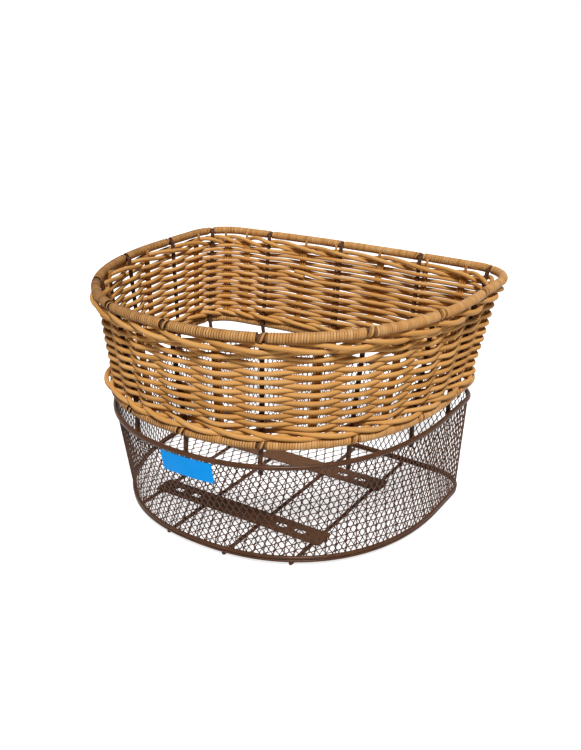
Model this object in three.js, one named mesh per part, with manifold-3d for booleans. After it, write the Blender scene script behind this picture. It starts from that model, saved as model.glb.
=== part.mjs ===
// A D-shaped carrier basket: a frame of welded steel wire, a band of woven rattan round the top
// and a bucket of expanded steel mesh below it.
// Millimetres, +Z up, the straight back towards +Y, the origin on the ground under the middle.

import * as THREE from 'three';
import { mergeGeometries, mergeVertices } from 'three/addons/utils/BufferGeometryUtils.js';
import Module from 'manifold-3d';

const wasm = await Module();
wasm.setup();

// Space left between two pieces that touch
const gap = 0.3;

// Heights of the ring wires' centre lines
const rimHeight = 235;
const bandFootHeight = 133.5;
const midRingHeight = 112;

// Size of each ring along its centre line, and how far its middle lies from the rim's along Y
const rimWidth = 381;
const rimDepth = 325;
const bandFootWidth = 349;
const bandFootDepth = 286;
const bandFootShift = -10;
const midRingWidth = 346;
const midRingDepth = 291;
const midRingShift = -10;
const footWidth = 339;
const footDepth = 260.5;
const footShift = -5;

// Shape of the rim seen from above
const backRadius = 1900;
const cornerRadius = 43;
const sideRun = 52;
const frontRoundness = 2.25;

// Diameters of the wires
const rimWireDiameter = 6;
const bandFootWireDiameter = 6;
const midRingDiameter = 5;
const footUpperDiameter = 3.6;
const footLowerDiameter = 2.8;
const uprightDiameter = 4.5;
const rodDiameter = 4;

// Ribbon wound on the two rings of the band
const wrapThickness = 1.05;

// Uprights reach above the rim's centre line and below the mid ring's
const uprightHead = 3;
const uprightTail = 10;

// Rattan
const strandDiameter = 4.3;
const stakeDiameter = 2.8;
const stakeInset = 4;
const coursePitch = 8.2;
const waleHeight = 8.6;
const rimWindow = 1.8;
const waleBulge = 2.6;
const waleRound = 1.6;
const bandInset = 5;

// Reach of the woven field to either side of its middle: where a strand passes an upright or a stake,
// between two such strands, and halfway to the next column, where the strands cross
const fieldCrest = 5.8;
const fieldValley = 3.8;
const fieldWaist = 2.6;

// Mesh
const meshThickness = 1.2;
const meshStrand = 2.6;
const floorCellX = 27;
const floorCellY = 42;
const wallHalfCell = 18;
const wallCellRows = 2;
const wallOpening = 0.84;
const meshBorder = 3;

// Mounting straps on the floor
const strapWidth = 24;
const strapLength = 204;
const strapThickness = 1.5;
const strapCornerRadius = 3;
const frontStrapY = -67;
const rearStrapY = 56.5;
const slotLength = 13;
const slotWidth = 6.5;
const slotX = [-77, -56, 51, 73];

// Floor rods
const rodX = [-99, -41, 28, 91];

// Blank plate on the front of the mesh
const plateHeight = 22;
const plateThickness = 1;
const plateStart = 469;
const plateEnd = 521;
const plateDrop = 0.5;

// Places round the rim, in thousandths of its length, from the middle of the back by way of +X.
// An upright has one place at the rim and one at the mid ring, and a spare stake one at the band's foot.
const uprightPlaces = [
  [-11, -2],
  [71, 85],
  [140, 146],
  [218, 211],
  [287, 280],
  [353, 352],
  [428, 428],
  [502, 497],
  [566, 560],
  [635, 636],
  [712, 714],
  [782, 784],
  [842, 838],
  [909, 908],
];
const stakePlaces = [33, 117, 180, 252, 321, 387, 463, 535, 600, 669, 743, 819, 860, 883, 949];
const sparePlaces = [
  [-16, -9],
  [79, 90],
];

// Facets
const wireSides = 8;
const hiddenSides = 6;
const backSteps = 2;
const cornerSteps = 5;
const frontSteps = 10;

const finish = {
  steel: { color: '#4f372b', roughness: 0.55, metalness: 0.3 },
  mesh: { color: '#5a4032', roughness: 0.6, metalness: 0.3 },
  rattan: { color: '#c98f48', roughness: 0.6, metalness: 0 },
  ribbon: { color: '#d9ac74', roughness: 0.5, metalness: 0 },
  plate: { color: '#049ff5', roughness: 0.4, metalness: 0 },
};

const basket = new THREE.Group();

function addPiece(name, geometry, look) {
  const mesh = new THREE.Mesh(geometry, new THREE.MeshStandardMaterial(look));
  mesh.name = name;
  basket.add(mesh);
  return mesh;
}

// Rings from the ground up, each a copy of the rim's outline at its own width, depth and shift
const footLowerHeight = rodDiameter + gap + footLowerDiameter / 2;
const footUpperHeight = footLowerHeight + footLowerDiameter / 2 + gap + footUpperDiameter / 2;
const foot = { z: footUpperHeight, width: footWidth, depth: footDepth, shift: footShift };
const midRing = { z: midRingHeight, width: midRingWidth, depth: midRingDepth, shift: midRingShift };
const bandFoot = { z: bandFootHeight, width: bandFootWidth, depth: bandFootDepth, shift: bandFootShift };
const rim = { z: rimHeight, width: rimWidth, depth: rimDepth, shift: 0 };
const rings = [foot, midRing, bandFoot, rim];

// The wall is straight from one ring to the next
function levelAt(z) {
  let upper = rings.findIndex((ring) => z <= ring.z);
  if (upper < 0) upper = rings.length - 1;
  upper = Math.max(upper, 1);
  const low = rings[upper - 1];
  const high = rings[upper];
  const t = (z - low.z) / (high.z - low.z);
  return {
    z,
    width: low.width + (high.width - low.width) * t,
    depth: low.depth + (high.depth - low.depth) * t,
    shift: low.shift + (high.shift - low.shift) * t,
  };
}

// Rim outline: a shallow arc at the back, round corners, short straight sides and a full round front
function makeRimOutline() {
  const side = rimWidth / 2;
  const arcCentre = rimDepth / 2 - backRadius;
  const cornerX = side - cornerRadius;
  const reach = backRadius - cornerRadius;
  const cornerY = arcCentre + Math.sqrt(reach ** 2 - cornerX ** 2);
  const turn = Math.asin(cornerX / reach);
  const frontStart = cornerY - sideRun;
  const frontReach = frontStart + rimDepth / 2;
  const half = [];
  for (let i = 0; i < backSteps; i++) {
    const a = (turn * i) / backSteps;
    half.push([backRadius * Math.sin(a), arcCentre + backRadius * Math.cos(a)]);
  }
  for (let i = 0; i <= cornerSteps; i++) {
    const a = turn + ((Math.PI / 2 - turn) * i) / cornerSteps;
    half.push([cornerX + cornerRadius * Math.sin(a), cornerY + cornerRadius * Math.cos(a)]);
  }
  for (let i = 0; i <= frontSteps; i++) {
    const a = ((Math.PI / 2) * i) / frontSteps;
    const x = i < frontSteps ? side * Math.cos(a) ** (2 / frontRoundness) : 0;
    half.push([x, frontStart - frontReach * Math.sin(a) ** (2 / frontRoundness)]);
  }
  const mirrored = half.slice(1, -1).reverse();
  return [...half, ...mirrored.map(([x, y]) => [-x, y])].map(([x, y]) => new THREE.Vector2(x, y));
}

const rimOutline = makeRimOutline();
const stationCount = rimOutline.length;

function outlineOf(level) {
  const scaleX = level.width / rimWidth;
  const scaleY = level.depth / rimDepth;
  return rimOutline.map((p) => new THREE.Vector2(p.x * scaleX, p.y * scaleY + level.shift));
}

// Outward direction of the outline's edge that starts at a point
function edgeNormal(points, i) {
  const a = points[i];
  const b = points[(i + 1) % points.length];
  return new THREE.Vector2(a.y - b.y, b.x - a.x).normalize();
}

// Outline moved outwards by a distance, its edges parallel to the first one's
function movedOutline(points, distance) {
  return points.map((p, i) => {
    const before = edgeNormal(points, (i + points.length - 1) % points.length);
    const after = edgeNormal(points, i);
    const share = distance / (1 + before.dot(after));
    return before.add(after).multiplyScalar(share).add(p);
  });
}

// Station on the outline for a place round the rim
const edgeLengths = rimOutline.map((p, i) => p.distanceTo(rimOutline[(i + 1) % stationCount]));
const rimLength = edgeLengths.reduce((sum, length) => sum + length, 0);

function stationOf(place) {
  let rest = ((((place / 1000) % 1) + 1) % 1) * rimLength;
  let index = 0;
  while (rest > edgeLengths[index]) {
    rest -= edgeLengths[index];
    index += 1;
  }
  return { index, share: rest / edgeLengths[index] };
}

// A point of the wall, moved inwards by its inset, with the directions along and out of the wall
function wallFrame(place, z, inset) {
  const { index, share } = stationOf(place);
  const points = outlineOf(levelAt(z));
  const normal = edgeNormal(points, index);
  const point = points[index].clone().lerp(points[(index + 1) % stationCount], share);
  point.addScaledVector(normal, -inset);
  return {
    origin: new THREE.Vector3(point.x, point.y, z),
    along: new THREE.Vector3(normal.y, -normal.x, 0),
    outward: new THREE.Vector3(normal.x, normal.y, 0),
  };
}

// A closed skin round the basket, from a point for each station and row. The rows run down the outer
// side and up the inner one.
function ringSkin(stations, rows, pointAt) {
  const profile = Array.from({ length: rows + 1 }, (_, j) => new THREE.Vector2(1, j));
  const geometry = new THREE.LatheGeometry(profile, stations);
  const position = geometry.attributes.position;
  for (let i = 0; i <= stations; i++) {
    for (let j = 0; j <= rows; j++) {
      const p = pointAt(i % stations, j % rows);
      position.setXYZ(i * (rows + 1) + j, p.x, p.y, p.z);
    }
  }
  return closed(geometry);
}

// A closed ring: a section of outward offsets and heights carried round the basket
function ringBody(section, level) {
  const outlines = section.map(([offset, z]) => movedOutline(outlineOf(level ?? levelAt(z)), offset));
  return ringSkin(stationCount, section.length, (i, j) => {
    const { x, y } = outlines[j][i];
    return { x, y, z: section[j][1] };
  });
}

// A bar whose section is carried through frames from the lowest to the highest
function barBody(section, frames) {
  const steps = frames.length - 1;
  const geometry = new THREE.ExtrudeGeometry(section, { depth: steps, steps, bevelEnabled: false });
  const position = geometry.attributes.position;
  const point = new THREE.Vector3();
  for (let i = 0; i < position.count; i++) {
    const frame = frames[Math.round(position.getZ(i))];
    point.copy(frame.origin);
    point.addScaledVector(frame.along, position.getX(i));
    point.addScaledVector(frame.outward, position.getY(i));
    position.setXYZ(i, point.x, point.y, point.z);
  }
  return closed(geometry);
}

// Geometry with shared corners, as a closed body needs
function closed(geometry) {
  geometry.deleteAttribute('normal');
  geometry.deleteAttribute('uv');
  const merged = mergeVertices(geometry, 1e-3);
  merged.computeVertexNormals();
  return merged;
}

function toSolid(geometry) {
  const bare = geometry.clone();
  bare.deleteAttribute('normal');
  bare.deleteAttribute('uv');
  const merged = mergeVertices(bare, 1e-3);
  const vertProperties = new Float32Array(merged.attributes.position.array);
  const triVerts = new Uint32Array(merged.index.array);
  return new wasm.Manifold(new wasm.Mesh({ numProp: 3, vertProperties, triVerts }));
}

function fromSolid(solid) {
  const mesh = solid.getMesh();
  const geometry = new THREE.BufferGeometry();
  geometry.setAttribute('position', new THREE.BufferAttribute(mesh.vertProperties, 3));
  geometry.setIndex(new THREE.BufferAttribute(mesh.triVerts, 1));
  return closed(geometry);
}

// Sections of a bar: round, with its corners on the circle, or square-cornered
function roundShape(radius, sides, x = 0) {
  const corners = [];
  for (let i = 0; i < sides; i++) {
    const a = ((i + 0.5) / sides) * 2 * Math.PI;
    corners.push(new THREE.Vector2(x + radius * Math.cos(a), radius * Math.sin(a)));
  }
  return new THREE.Shape(corners);
}

function slotShape(halfLength, halfWidth) {
  return new THREE.Shape([
    new THREE.Vector2(-halfLength, -halfWidth),
    new THREE.Vector2(halfLength, -halfWidth),
    new THREE.Vector2(halfLength, halfWidth),
    new THREE.Vector2(-halfLength, halfWidth),
  ]);
}

// Round section of a ring wire, listed down its outer side
function roundSection(radius, z, sides) {
  const section = [];
  for (let i = 0; i < sides; i++) {
    const a = -((i + 0.5) / sides) * 2 * Math.PI;
    section.push([radius * Math.cos(a), z + radius * Math.sin(a)]);
  }
  return section;
}

// Ring wires
const rimRadius = rimWireDiameter / 2;
const bandFootRadius = bandFootWireDiameter / 2;
const midRadius = midRingDiameter / 2;
const uprightRadius = uprightDiameter / 2;

function wireRing(radius, z, sides, level) {
  return ringBody(roundSection(radius, z, sides), level);
}

addPiece('rim_wire', wireRing(rimRadius, rim.z, hiddenSides, rim), finish.steel);
addPiece('band_foot_wire', wireRing(bandFootRadius, bandFoot.z, hiddenSides, bandFoot), finish.steel);
addPiece('mid_ring_wire', wireRing(midRadius, midRing.z, wireSides, midRing), finish.steel);
addPiece('foot_wire_upper', wireRing(footUpperDiameter / 2, footUpperHeight, wireSides, foot), finish.steel);
addPiece('foot_wire_lower', wireRing(footLowerDiameter / 2, footLowerHeight, hiddenSides, foot), finish.steel);

// Uprights stand against the inner side of the rings
const rimUprightInset = rimRadius + gap + uprightRadius;
const bandFootUprightInset = bandFootRadius + gap + uprightRadius;
const midUprightInset = midRadius + gap + uprightRadius;

// An upright's place at a height
function legPlace([rimPlace, midPlace], z) {
  return rimPlace + ((midPlace - rimPlace) * (rim.z - z)) / (rim.z - midRing.z);
}

function uprightFrames(places) {
  const at = (z, inset) => wallFrame(legPlace(places, z), z, inset);
  const top = at(rim.z, rimUprightInset);
  const bend = at(bandFoot.z, bandFootUprightInset);
  const head = { ...top, origin: top.origin.clone() };
  head.origin.lerp(bend.origin, -uprightHead / (rim.z - bandFoot.z));
  return [
    at(midRing.z - uprightTail, midUprightInset),
    at(midRing.z, midUprightInset),
    bend,
    head,
  ];
}

const uprightCuts = [];
uprightPlaces.forEach((places, i) => {
  const frames = uprightFrames(places);
  const name = `upright_${String(i + 1).padStart(2, '0')}`;
  addPiece(name, barBody(roundShape(uprightRadius, wireSides), frames), finish.steel);
  uprightCuts.push(barBody(slotShape(uprightRadius + gap, uprightRadius + gap), frames));
});

// Ribbon wrap round a ring, one sleeve that the uprights pass through on its inner side
function wrapBody(wireRadius, ring) {
  const outer = wireRadius + gap + wrapThickness;
  const sleeve = wireRing(outer, ring.z, wireSides, ring);
  const bore = wireRing(wireRadius + gap, ring.z, hiddenSides, ring);
  return fromSolid(toSolid(sleeve).subtract(toSolid(bore)).subtract(toSolid(mergeGeometries(uprightCuts))));
}

const rimWrapRadius = rimRadius + gap + wrapThickness;
const bandFootWrapRadius = bandFootRadius + gap + wrapThickness;
addPiece('rim_wrap', wrapBody(rimRadius, rim), finish.ribbon);
addPiece('band_foot_wrap', wrapBody(bandFootRadius, bandFoot), finish.ribbon);

// Heights of the woven band
const bandBottom = bandFoot.z + bandFootWrapRadius + gap;
const bandTop = rim.z - rimWrapRadius - rimWindow;
const fieldBottom = bandBottom + waleHeight + gap;
const fieldTop = bandTop - waleHeight - gap;

// Rattan stakes stand in threes, and one of each three rises to the rim's wrap
const stakeRadius = stakeDiameter / 2;
const stubReach = Math.max(stakeInset - stakeRadius, 0);
const stubTop = rim.z - Math.sqrt(rimWrapRadius ** 2 - stubReach ** 2) - gap;

function stakeFrames(rimPlace, footPlace, top) {
  const low = wallFrame(footPlace, bandFoot.z, stakeInset);
  const high = wallFrame(rimPlace, rim.z, stakeInset);
  const span = rim.z - bandFoot.z;
  return [bandBottom, top].map((z) => ({
    ...low,
    origin: low.origin.clone().lerp(high.origin, (z - bandFoot.z) / span),
  }));
}

const stakeCuts = [];
const stakePitch = 0.84 * stakeDiameter;
const threeAcross = [-stakePitch, 0, stakePitch];
stakePlaces.forEach((place, i) => {
  const tall = i % 3;
  const bars = threeAcross.map((x, k) => {
    const frames = stakeFrames(place, place, k === tall ? stubTop : bandTop);
    return toSolid(barBody(roundShape(stakeRadius, hiddenSides, x), frames));
  });
  const slot = slotShape(stakePitch + stakeRadius + gap, stakeRadius + gap);
  stakeCuts.push(barBody(slot, stakeFrames(place, place, stubTop)));
  const name = `stake_group_${String(i + 1).padStart(2, '0')}`;
  addPiece(name, fromSolid(bars[0].add(bars[1]).add(bars[2])), finish.rattan);
});

sparePlaces.forEach(([rimPlace, footPlace], i) => {
  const frames = stakeFrames(rimPlace, footPlace, stubTop);
  addPiece(`spare_stake_${i + 1}`, barBody(roundShape(stakeRadius, hiddenSides), frames), finish.rattan);
  stakeCuts.push(barBody(slotShape(stakeRadius + gap, stakeRadius + gap), frames));
});

// Woven band, threaded on the uprights and stakes. A wale is one heavy row that bulges on both sides.
function waleSection(bottom, top) {
  const edge = strandDiameter + waleBulge - waleRound / 2;
  const crest = strandDiameter + waleBulge + waleRound / 2;
  const outside = [
    [edge, top],
    [crest, (bottom + top) / 2],
    [edge, bottom],
  ];
  const inside = outside.map(([offset, z]) => [-offset, z]).reverse();
  return [...outside, ...inside].map(([offset, z]) => [offset - bandInset, z]);
}

// Columns that the field is woven round, in order, each with its place at a height
const columns = [
  ...uprightPlaces.map((places) => (z) => legPlace(places, z)),
  ...stakePlaces.map((place) => () => place),
].sort((a, b) => a(rim.z) - b(rim.z));

// A station at every column and one halfway to the next
function fieldPlace(station, z) {
  const here = Math.floor(station / 2);
  const place = columns[here](z);
  if (station % 2 === 0) return place;
  const next = columns[(here + 1) % columns.length](z);
  return (place + (next > place ? next : next + 1000)) / 2;
}

// The strands pass a column outside and inside by turns, the other way round at the next column
function fieldReach(station, level, side) {
  if (station % 2) return fieldWaist;
  const column = station / 2;
  const turn = side > 0 ? column : column + 1;
  return (level + turn) % 2 ? fieldCrest : fieldValley;
}

function fieldBody(bottom, top, levelCount) {
  const levels = Array.from({ length: levelCount + 1 }, (_, level) => level);
  const inside = levels.map((level) => ({ level, side: -1 }));
  const outside = levels.map((level) => ({ level, side: 1 })).reverse();
  const rows = [...outside, ...inside];
  return ringSkin(2 * columns.length, rows.length, (station, row) => {
    const { level, side } = rows[row];
    const z = bottom + ((top - bottom) * level) / levelCount;
    const inset = bandInset - side * fieldReach(station, level, side);
    return wallFrame(fieldPlace(station, z), z, inset).origin;
  });
}

const columnCuts = wasm.Manifold.union([...uprightCuts, ...stakeCuts].map(toSolid));

function threaded(geometry) {
  return fromSolid(toSolid(geometry).subtract(columnCuts));
}

const courseCount = Math.max(1, Math.round((fieldTop - fieldBottom) / coursePitch));
const bottomWale = ringBody(waleSection(bandBottom, bandBottom + waleHeight));
const topWale = ringBody(waleSection(bandTop - waleHeight, bandTop));
addPiece('bottom_wale', threaded(bottomWale), finish.rattan);
addPiece('woven_field', threaded(fieldBody(fieldBottom, fieldTop, 2 * courseCount)), finish.rattan);
addPiece('top_wale', threaded(topWale), finish.rattan);

// Floor rods under everything, each with a flat side on the ground
const flatRadius = rodDiameter / 2 / Math.cos(Math.PI / wireSides);

function footSpanAt(x) {
  const points = outlineOf(foot);
  const crossings = [];
  points.forEach((a, i) => {
    const b = points[(i + 1) % points.length];
    if ((a.x - x) * (b.x - x) < 0) crossings.push(a.y + ((b.y - a.y) * (x - a.x)) / (b.x - a.x));
  });
  return [Math.min(...crossings), Math.max(...crossings)];
}

rodX.forEach((x, i) => {
  const [front, back] = footSpanAt(x);
  const rod = new THREE.CylinderGeometry(flatRadius, flatRadius, back - front, wireSides);
  rod.rotateY(Math.PI / wireSides);
  const mesh = addPiece(`floor_rod_${i + 1}`, closed(rod), finish.steel);
  mesh.position.set(x, (front + back) / 2, rodDiameter / 2);
});

// Expanded mesh, drawn coarser than the real one
function diamond(width, height) {
  const shape = new THREE.Shape();
  shape.moveTo(width / 2, 0);
  shape.lineTo(0, height / 2);
  shape.lineTo(-width / 2, 0);
  shape.lineTo(0, -height / 2);
  return new THREE.ExtrudeGeometry(shape, { depth: 1, bevelEnabled: false });
}

// Opening left in a cell of the mesh once its strands are drawn
function cellOpening(width, height) {
  const slant = Math.hypot(width, height);
  return [width - (meshStrand * slant) / height, height - (meshStrand * slant) / width];
}

// Floor of the bucket
const floorBottom = rodDiameter + gap;
const floorTop = floorBottom + meshThickness;

function floorPlate(inset, bottom, top) {
  const shape = new THREE.Shape(movedOutline(outlineOf(foot), -inset).reverse());
  const plate = new THREE.ExtrudeGeometry(shape, { depth: top - bottom, bevelEnabled: false });
  return closed(plate.translate(0, 0, bottom));
}

function floorMesh() {
  const [width, height] = cellOpening(floorCellX, floorCellY);
  const holes = [];
  const rows = Math.ceil(footDepth / floorCellY);
  const columns = Math.ceil(footWidth / floorCellX / 2);
  for (let row = -rows; row <= rows; row++) {
    for (let column = -columns; column <= columns; column++) {
      const hole = diamond(width, height);
      hole.scale(1, 1, 3 * meshThickness);
      const x = (column + (row % 2 ? 0.5 : 0)) * floorCellX;
      const y = footShift + (row * floorCellY) / 2;
      holes.push(hole.translate(x, y, floorBottom - meshThickness));
    }
  }
  const edge = footLowerDiameter / 2 + gap;
  const field = toSolid(floorPlate(edge + meshBorder, floorBottom - meshThickness, floorTop + meshThickness));
  const cells = toSolid(mergeGeometries(holes)).intersect(field);
  return fromSolid(toSolid(floorPlate(edge, floorBottom, floorTop)).subtract(cells));
}

addPiece('floor_mesh', floorMesh(), finish.mesh);

// Wall of the bucket, from the upper foot wire to the underside of the mid ring
const wallBottom = footUpperHeight + footUpperDiameter / 2 + gap;
const wallTop = midRing.z - midRadius - gap;
const wallOuter = meshThickness / 2;

// The wall is a lattice of diamonds. Its stations are the outline's corners and even steps between them.
const wallStations = edgeLengths.flatMap((length, edge) => {
  const steps = Math.max(1, Math.round(length / wallHalfCell));
  return Array.from({ length: steps }, (_, step) => ({ edge, share: step / steps, reach: 1 / steps }));
});
const wallRows = 2 * wallCellRows;

// A point of the lattice at a depth below the outer face. Station and row may lie between whole numbers.
function latticePoint(station, row, depth) {
  const low = Math.floor(station);
  const { edge, share, reach } = wallStations[(low + wallStations.length) % wallStations.length];
  const z = wallBottom + ((wallTop - wallBottom) * row) / wallRows;
  const points = movedOutline(outlineOf(levelAt(z)), wallOuter - depth);
  const point = points[edge].clone().lerp(points[(edge + 1) % stationCount], share + reach * (station - low));
  return new THREE.Vector3(point.x, point.y, z);
}

// Corners of a diamond that fills a share of its cell: top, left, bottom and right seen from inside.
// At the wall's edges it is cut off.
function cellCorners(station, row, share) {
  const border = 1 - share;
  const middle = THREE.MathUtils.clamp(row, border, wallRows - border);
  const reach = share - Math.abs(middle - row);
  return [
    [station, Math.min(row + share, wallRows - border)],
    [station - reach, middle],
    [station, Math.max(row - share, border)],
    [station + reach, middle],
  ];
}

function meshWall() {
  const positions = [];
  const addQuad = (a, b, c, d) => positions.push(...[a, b, c, a, c, d].flatMap((p) => p.toArray()));
  const pair = ([station, row]) => [0, meshThickness].map((depth) => latticePoint(station, row, depth));
  const addCell = (station, row) => {
    const cell = cellCorners(station, row, 1).map(pair);
    const opening = cellCorners(station, row, wallOpening).map(pair);
    for (let here = 0; here < 4; here++) {
      const next = (here + 1) % 4;
      addQuad(cell[next][0], cell[here][0], opening[here][0], opening[next][0]);
      addQuad(cell[here][1], cell[next][1], opening[next][1], opening[here][1]);
      addQuad(opening[next][0], opening[here][0], opening[here][1], opening[next][1]);
    }
  };
  for (let station = 0; station < wallStations.length; station++) {
    for (let row = 0; row <= wallRows; row++) {
      if ((station + row) % 2) addCell(station, row);
    }
    const foot = [pair([station, 0]), pair([station + 1, 0])];
    const head = [pair([station, wallRows]), pair([station + 1, wallRows])];
    addQuad(foot[0][0], foot[1][0], foot[1][1], foot[0][1]);
    addQuad(head[1][0], head[0][0], head[0][1], head[1][1]);
  }
  const geometry = new THREE.BufferGeometry();
  geometry.setAttribute('position', new THREE.Float32BufferAttribute(positions, 3));
  return closed(geometry);
}

addPiece('mesh_wall', meshWall(), finish.mesh);

// Mounting straps lie on the floor mesh
function strapShape() {
  const x = strapLength / 2;
  const y = strapWidth / 2;
  const r = strapCornerRadius;
  const shape = new THREE.Shape();
  shape.moveTo(-x + r, -y);
  shape.lineTo(x - r, -y);
  shape.absarc(x - r, -y + r, r, -Math.PI / 2, 0);
  shape.absarc(x - r, y - r, r, 0, Math.PI / 2);
  shape.absarc(-x + r, y - r, r, Math.PI / 2, Math.PI);
  shape.absarc(-x + r, -y + r, r, Math.PI, 1.5 * Math.PI);
  for (const centre of slotX) {
    const run = (slotLength - slotWidth) / 2;
    const slot = new THREE.Path();
    slot.moveTo(centre - run, slotWidth / 2);
    slot.absarc(centre - run, 0, slotWidth / 2, Math.PI / 2, 1.5 * Math.PI);
    slot.absarc(centre + run, 0, slotWidth / 2, -Math.PI / 2, Math.PI / 2);
    shape.holes.push(slot);
  }
  return shape;
}

for (const [name, y] of [['front_mounting_strap', frontStrapY], ['rear_mounting_strap', rearStrapY]]) {
  const options = { depth: strapThickness, bevelEnabled: false, curveSegments: 3 };
  const strap = addPiece(name, closed(new THREE.ExtrudeGeometry(strapShape(), options)), finish.steel);
  strap.position.set(0, y, floorTop + gap);
}

// Blank plate, bent to the wall outside the mesh
const plateTop = midRing.z - midRadius - plateDrop;
const plateShape = new THREE.Shape();
plateShape.moveTo(-plateHeight, gap);
plateShape.lineTo(0, gap);
plateShape.lineTo(0, gap + plateThickness);
plateShape.lineTo(-plateHeight, gap + plateThickness);

function plateFrames() {
  const steps = 6;
  const frames = [];
  for (let i = 0; i <= steps; i++) {
    const place = plateEnd - ((plateEnd - plateStart) * i) / steps;
    const high = wallFrame(place, plateTop, -wallOuter);
    const low = wallFrame(place, plateTop - plateHeight, -wallOuter);
    const along = high.origin.clone().sub(low.origin).normalize();
    frames.push({ origin: high.origin, along, outward: high.outward });
  }
  return frames;
}

addPiece('blank_plate', barBody(plateShape, plateFrames()), finish.plate);

export default basket;
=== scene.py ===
import math

import bpy
import numpy as np
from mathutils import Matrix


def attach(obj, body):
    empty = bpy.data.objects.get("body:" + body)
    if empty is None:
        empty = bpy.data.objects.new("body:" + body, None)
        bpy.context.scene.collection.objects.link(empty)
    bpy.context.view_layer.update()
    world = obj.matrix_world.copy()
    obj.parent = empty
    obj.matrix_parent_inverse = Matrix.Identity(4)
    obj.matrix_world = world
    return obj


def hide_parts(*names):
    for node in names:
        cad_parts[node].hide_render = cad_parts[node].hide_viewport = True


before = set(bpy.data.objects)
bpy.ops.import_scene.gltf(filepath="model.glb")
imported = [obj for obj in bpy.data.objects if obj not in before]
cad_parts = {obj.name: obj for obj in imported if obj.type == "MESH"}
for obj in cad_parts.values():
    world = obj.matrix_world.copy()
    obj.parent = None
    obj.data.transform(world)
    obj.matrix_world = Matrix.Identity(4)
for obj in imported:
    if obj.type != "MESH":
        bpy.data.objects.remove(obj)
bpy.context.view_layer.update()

# The basket's looks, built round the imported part. Lengths are millimetres until a mesh is made.
mm = 0.001
dice = np.random.RandomState(11)

# The wall
basket = {
    "backRadius": 1900,
    "cornerRadius": 43,
    "sideRun": 52,
    "frontRoundness": 2.25,
    # height, width, depth and shift towards the back of each ring, from the foot to the rim
    "rings": [(9.2, 339, 260.5, -5), (112, 346, 291, -10), (133.5, 349, 286, -10), (235, 381, 325, 0)],
    # an upright's place at the rim and at the mid ring, in thousandths of the way round
    "uprights": [(-11, -2), (71, 85), (140, 146), (218, 211), (287, 280), (353, 352), (428, 428),
                 (502, 497), (566, 560), (635, 636), (712, 714), (782, 784), (842, 838), (909, 908)],
    "stakes": [33, 117, 180, 252, 321, 387, 463, 535, 600, 669, 743, 819, 860, 883, 949],
    "spares": [(-16, -9), (79, 90)],  # places at the rim and at the band's foot
    "bow": 1.0,  # how far the woven wall swells between its rings
}
footZ, midZ, bandFootZ, rimZ = [ring[0] for ring in basket["rings"]]


def makeOutline(shape, count=1440):
    # the rim seen from above, clockwise from the middle of the back, as evenly spaced points
    side, depth = shape["rings"][-1][1] / 2, shape["rings"][-1][2]
    backR, cornerR = shape["backRadius"], shape["cornerRadius"]
    arcCentre = depth / 2 - backR
    cornerX = side - cornerR
    reach = backR - cornerR
    cornerY = arcCentre + math.sqrt(reach ** 2 - cornerX ** 2)
    turn = math.asin(cornerX / reach)
    frontStart = cornerY - shape["sideRun"]
    frontReach = frontStart + depth / 2
    a = np.linspace(0, turn, 200)
    half = [np.c_[backR * np.sin(a), arcCentre + backR * np.cos(a)]]
    a = np.linspace(turn, math.pi / 2, 200)[1:]
    half.append(np.c_[cornerX + cornerR * np.sin(a), cornerY + cornerR * np.cos(a)])
    a = np.linspace(0, math.pi / 2, 1200)
    power = 2 / shape["frontRoundness"]
    half.append(np.c_[side * np.cos(a).clip(0) ** power, frontStart - frontReach * np.sin(a) ** power])
    half = np.concatenate(half)
    loop = np.concatenate([half, half[1:-1][::-1] * [-1, 1], half[:1]])
    run = np.r_[0, np.cumsum(np.hypot(*np.diff(loop, axis=0).T))]
    at = np.linspace(0, run[-1], count, endpoint=False)
    points = np.c_[np.interp(at, run, loop[:, 0]), np.interp(at, run, loop[:, 1])]
    for _ in range(6):  # eases the joins between the arcs
        points = (np.roll(points, 1, 0) + 2 * points + np.roll(points, -1, 0)) / 4
    slope = np.roll(points, -1, 0) - np.roll(points, 1, 0)
    return points, slope


outline, outlineSlope = makeOutline(basket)
placeGrid = np.linspace(0, 1000, len(outline), endpoint=False)


def wallAt(place, z, inset=0.0):
    # points of the wall, moved inwards by the inset, and the outward directions there
    place, z, inset = np.broadcast_arrays(np.asarray(place, float), np.asarray(z, float), inset)
    heights, widths, depths, shifts = np.array(basket["rings"], float).T
    scaleX = np.interp(z, heights, widths) / widths[-1]
    scaleY = np.interp(z, heights, depths) / depths[-1]
    x, y, slopeX, slopeY = (np.interp(place, placeGrid, v, period=1000)
                            for v in (*outline.T, *outlineSlope.T))
    slopeX, slopeY = slopeX * scaleX, slopeY * scaleY
    size = np.hypot(slopeX, slopeY)
    outX, outY = -slopeY / size, slopeX / size
    shift = np.interp(z, heights, shifts)
    points = np.stack([x * scaleX - outX * inset, y * scaleY + shift - outY * inset, z], -1)
    return points, np.stack([outX, outY, np.zeros_like(outX)], -1)


def legPlace(rimPlace, lowPlace, lowZ, z):
    # place at a height of a bar that leans from one place at the rim to another lower down
    return rimPlace + (lowPlace - rimPlace) * (rimZ - z) / (rimZ - lowZ)


def bowAt(z):
    return basket["bow"] * np.sin(math.pi * np.clip((z - bandFootZ) / (rimZ - bandFootZ), 0, 1))


def smoothStep(t):
    t = np.clip(t, 0, 1)
    return t * t * (3 - 2 * t)


# Meshes: every part is a skin over rows of corners, and keeps its place along and across the fibres
def unit(v):
    return v / np.linalg.norm(v, axis=-1, keepdims=True)


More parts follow.
